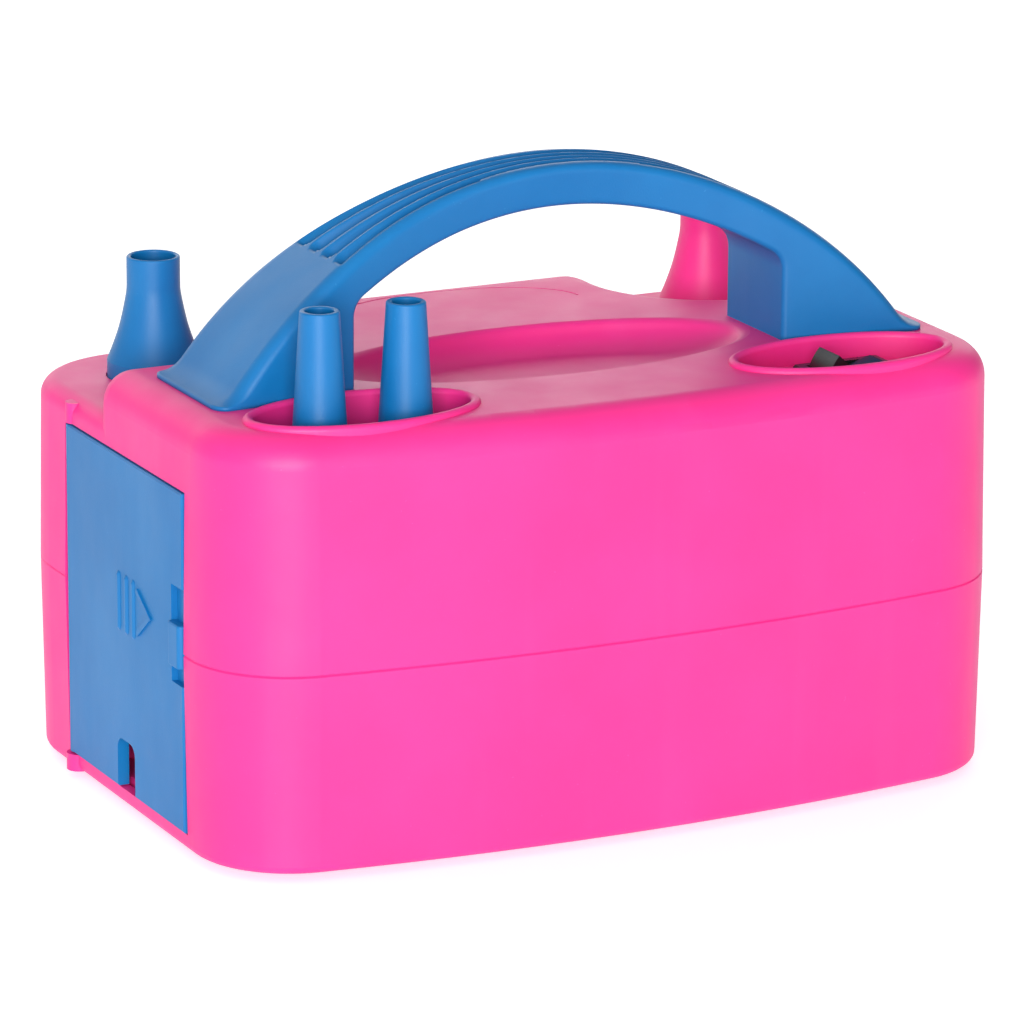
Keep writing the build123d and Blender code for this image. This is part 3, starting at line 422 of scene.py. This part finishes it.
def handle_curves():
    """Outer and inner outlines of the right half, from the crown down to the foot."""
    arch_centre = (0.0, APEX_Z - ARCH_R)
    end = math.asin(FLARE_X / ARCH_R)
    outer = arc_points(arch_centre, ARCH_R, 0, end, 90)
    heading = (math.cos(end), -math.sin(end))
    outer += tangent_arc(outer[-1], heading, (FOOT_X, DECK_Z + FOOT_EDGE), 16)[1:]
    under_centre = (0.0, APEX_Z - GRIP_DEPTH - UNDER_R)
    fillet_x = LEG_X - LEG_FILLET
    fillet_z = under_centre[1] + math.sqrt((UNDER_R - LEG_FILLET) ** 2 - fillet_x**2)
    lean = math.asin(fillet_x / (UNDER_R - LEG_FILLET))
    inner = arc_points(under_centre, UNDER_R, 0, lean, 60)
    inner += arc_points((fillet_x, fillet_z), LEG_FILLET, lean, math.pi / 2, 12)[1:]
    inner.append((LEG_X, DECK_Z))
    return outer, inner


def groove_depth(x, y):
    """How deep the top is sunk at a place: rounded-bottomed channels with round ends."""
    pitch = eased(GROOVE_PITCH, x)
    width = pitch * GROOVE_HALF_SHARE
    reach = max(abs(x) - (GROOVE_END_X - width * GROOVE_END_SHARE), 0.0) / GROOVE_END_SHARE
    best = 0.0
    for i in range(GROOVES):
        middle = (i - (GROOVES - 1) / 2) * pitch
        t = math.hypot(y - middle, reach) / width
        if t < 1:
            best = max(best, (1 - t**4) ** 0.6 * GROOVE_DEPTH)
    return best


def full_ring(outer, inner):
    """One closed ring round the handle: grooved top, rounded edges, sides and underside."""
    rib = inner - outer
    height = rib.length
    rib.normalize()
    grip = max(0.0, 1 - abs(outer.x) / LEAN_REACH_X)
    lean = CROWN_LEAN * grip * grip * (3 - 2 * grip) + LEAST_LEAN
    spread = min(abs(outer.x) / ROUND_REACH_X, 1.0)
    cap = CROWN_ROUND + ROUND_GROWTH * spread

    def side_point(depth, inset, side):
        spot = outer + rib * depth
        width = eased(WIDTHS, spot.x) + lean * (1 - 2 * depth / height) - inset
        return (spot.x, HANDLE_Y + side * width, spot.y)

    def top_point(y):
        spot = outer + rib * groove_depth(outer.x, y)
        return (spot.x, HANDLE_Y + y, spot.y)

    half = eased(WIDTHS, outer.x) + lean - cap
    top = [top_point(-half + 2 * half * k / TOP_STEPS) for k in range(TOP_STEPS + 1)]
    turns = [math.pi / 2 * k / ROUND_STEPS for k in range(1, ROUND_STEPS + 1)]
    cap_depth = cap * ROUND_HEIGHT_SHARE
    right = [
        side_point(cap_depth * (1 - math.cos(t)), cap * (1 - math.sin(t)), 1) for t in turns
    ]
    straight = height - LOWER_ROUND - cap_depth
    right += [
        side_point(cap_depth + straight * k / SIDE_STEPS, 0, 1) for k in range(1, SIDE_STEPS)
    ]
    right += [
        side_point(
            height - LOWER_ROUND * (1 - math.sin(t)),
            LOWER_ROUND * (1 - math.cos(t)),
            1,
        )
        for t in [0.0, *turns]
    ]
    left = [(x, 2 * HANDLE_Y - y, z) for x, y, z in reversed(right)]
    return top + right + left


def build_handle():
    outer, inner = handle_curves()
    outer_end = path_length(outer)
    inner_end = path_length(inner)
    stations = []
    for i in range(STATIONS + 1):
        at = i / STATIONS * outer_end
        if at < OUTER_SPLIT:
            other = at / OUTER_SPLIT * INNER_SPLIT
        else:
            past = (at - OUTER_SPLIT) / (outer_end - OUTER_SPLIT)
            other = INNER_SPLIT + past * (inner_end - INNER_SPLIT)
        stations.append((along(outer, at / outer_end), along(inner, other / inner_end)))
    stations.append((Vector((FOOT_X, DECK_Z)), Vector((LEG_X, DECK_Z))))
    mirrored = [(Vector((-a.x, a.y)), Vector((-b.x, b.y))) for a, b in reversed(stations[1:])]
    rings = [full_ring(a, b) for a, b in mirrored + stations]
    bm = bmesh.new()
    rows = [[bm.verts.new([c * MM for c in p]) for p in ring] for ring in rings]
    size = len(rows[0])
    for row, following in zip(rows, rows[1:]):
        for i in range(size):
            j = (i + 1) % size
            bm.faces.new((row[i], row[j], following[j], following[i]))
    bm.faces.new(rows[0])
    bm.faces.new(list(reversed(rows[-1])))
    bmesh.ops.recalc_face_normals(bm, faces=bm.faces)
    mesh = bpy.data.meshes.new("handle_strap")
    bm.to_mesh(mesh)
    bm.free()
    for polygon in mesh.polygons:
        polygon.use_smooth = True
    return mesh


handle = bpy.data.objects.new("handle_strap", build_handle())
bpy.context.scene.collection.objects.link(handle)
handle.data.materials.append(FINISH["blue_plastic"])
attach(handle, "root")
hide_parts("handle")

# ---- camera, light and floor ----

CAMERA_AT = Vector((-0.6622, -1.3363, 0.4855))
CAMERA_TURN = math.radians(26.34)
CAMERA_DIP = math.radians(15.76)
CAMERA_ROLL = math.radians(0.35)
CAMERA_LENS = 216.56
CAMERA_SENSOR = 36.0

FLOOR_GLOW = 0.52
FLOOR_REACH = 6.0

# Strength of the white world at the horizon and overhead, and its share at the right
HORIZON_GLOW = 0.52
ZENITH_GLOW = 0.66
RIGHT_DIMMING = 0.35


def place_camera():
    data = bpy.data.cameras.new("camera")
    data.lens = CAMERA_LENS
    data.sensor_width = CAMERA_SENSOR
    data.clip_start = 0.05
    data.clip_end = 50.0
    camera = bpy.data.objects.new("camera", data)
    bpy.context.scene.collection.objects.link(camera)
    forward = Vector(
        (
            math.sin(CAMERA_TURN) * math.cos(CAMERA_DIP),
            math.cos(CAMERA_TURN) * math.cos(CAMERA_DIP),
            -math.sin(CAMERA_DIP),
        )
    )
    level = Vector((math.cos(CAMERA_TURN), -math.sin(CAMERA_TURN), 0))
    above = level.cross(forward)
    right = level * math.cos(CAMERA_ROLL) + above * math.sin(CAMERA_ROLL)
    above = right.cross(forward)
    turn = Matrix((right, above, -forward)).transposed().to_4x4()
    camera.matrix_world = Matrix.Translation(CAMERA_AT) @ turn
    bpy.context.scene.camera = camera


def area_light(name, at, toward, size, power):
    data = bpy.data.lights.new(name, "AREA")
    data.shape = "RECTANGLE"
    data.size, data.size_y = size
    data.energy = power
    light = bpy.data.objects.new(name, data)
    light.visible_camera = False
    bpy.context.scene.collection.objects.link(light)
    light.location = at
    light.rotation_mode = "QUATERNION"
    light.rotation_quaternion = (Vector(toward) - Vector(at)).to_track_quat("-Z", "Y")


def floor_material():
    material, tree, shader, place = start("paper_floor")
    fibre = noise_tex(tree, place, 240, 5, 0.6, (-1100, 100))
    colour = ramp(tree, fibre, 0.3, 0.7, (0.86, 0.86, 0.86), (0.90, 0.90, 0.90))
    tree.links.new(colour, shader.inputs["Base Color"])
    put(shader, Roughness=0.9, Emission_Color=(1, 1, 1, 1), Emission_Strength=FLOOR_GLOW)
    return material


def place_floor():
    mesh = bpy.data.meshes.new("floor")
    signs = ((-1, -1), (1, -1), (1, 1), (-1, 1))
    corners = [(x * FLOOR_REACH, y * FLOOR_REACH, 0) for x, y in signs]
    mesh.from_pydata(corners, [], [(0, 1, 2, 3)])
    floor = bpy.data.objects.new("floor", mesh)
    bpy.context.scene.collection.objects.link(floor)
    mesh.materials.append(floor_material())


def light_world():
    """A white room, a little brighter overhead and dimmer towards the right."""
    world = bpy.data.worlds.new("studio")
    bpy.context.scene.world = world
    world.use_nodes = True
    tree = world.node_tree
    shade = tree.nodes["Background"]
    where = node(tree, "ShaderNodeTexCoord", (-900, 0)).outputs["Generated"]
    split = node(tree, "ShaderNodeSeparateXYZ", (-700, 0))
    tree.links.new(where, split.inputs[0])
    level = span(tree, split.outputs["Z"], 0.1, 0.75, HORIZON_GLOW, ZENITH_GLOW, (-500, 0))
    dimming = span(tree, split.outputs["X"], -0.2, 0.9, 1.0, RIGHT_DIMMING, (-500, -250))
    product = node(tree, "ShaderNodeMath", (-250, 0), operation="MULTIPLY")
    tree.links.new(level, product.inputs[0])
    tree.links.new(dimming, product.inputs[1])
    tree.links.new(product.outputs[0], shade.inputs["Strength"])
    shade.inputs["Color"].default_value = (1, 1, 1, 1)


place_camera()
place_floor()
light_world()
area_light("key", (-0.85, -1.60, 0.42), (0, 0, 0.06), (0.9, 0.6), 29)
area_light("rear_panel", (0.9, 2.6, 0.95), (0, 0, 0.1), (4.0, 1.3), 33)
bpy.context.scene.view_settings.view_transform = "Standard"
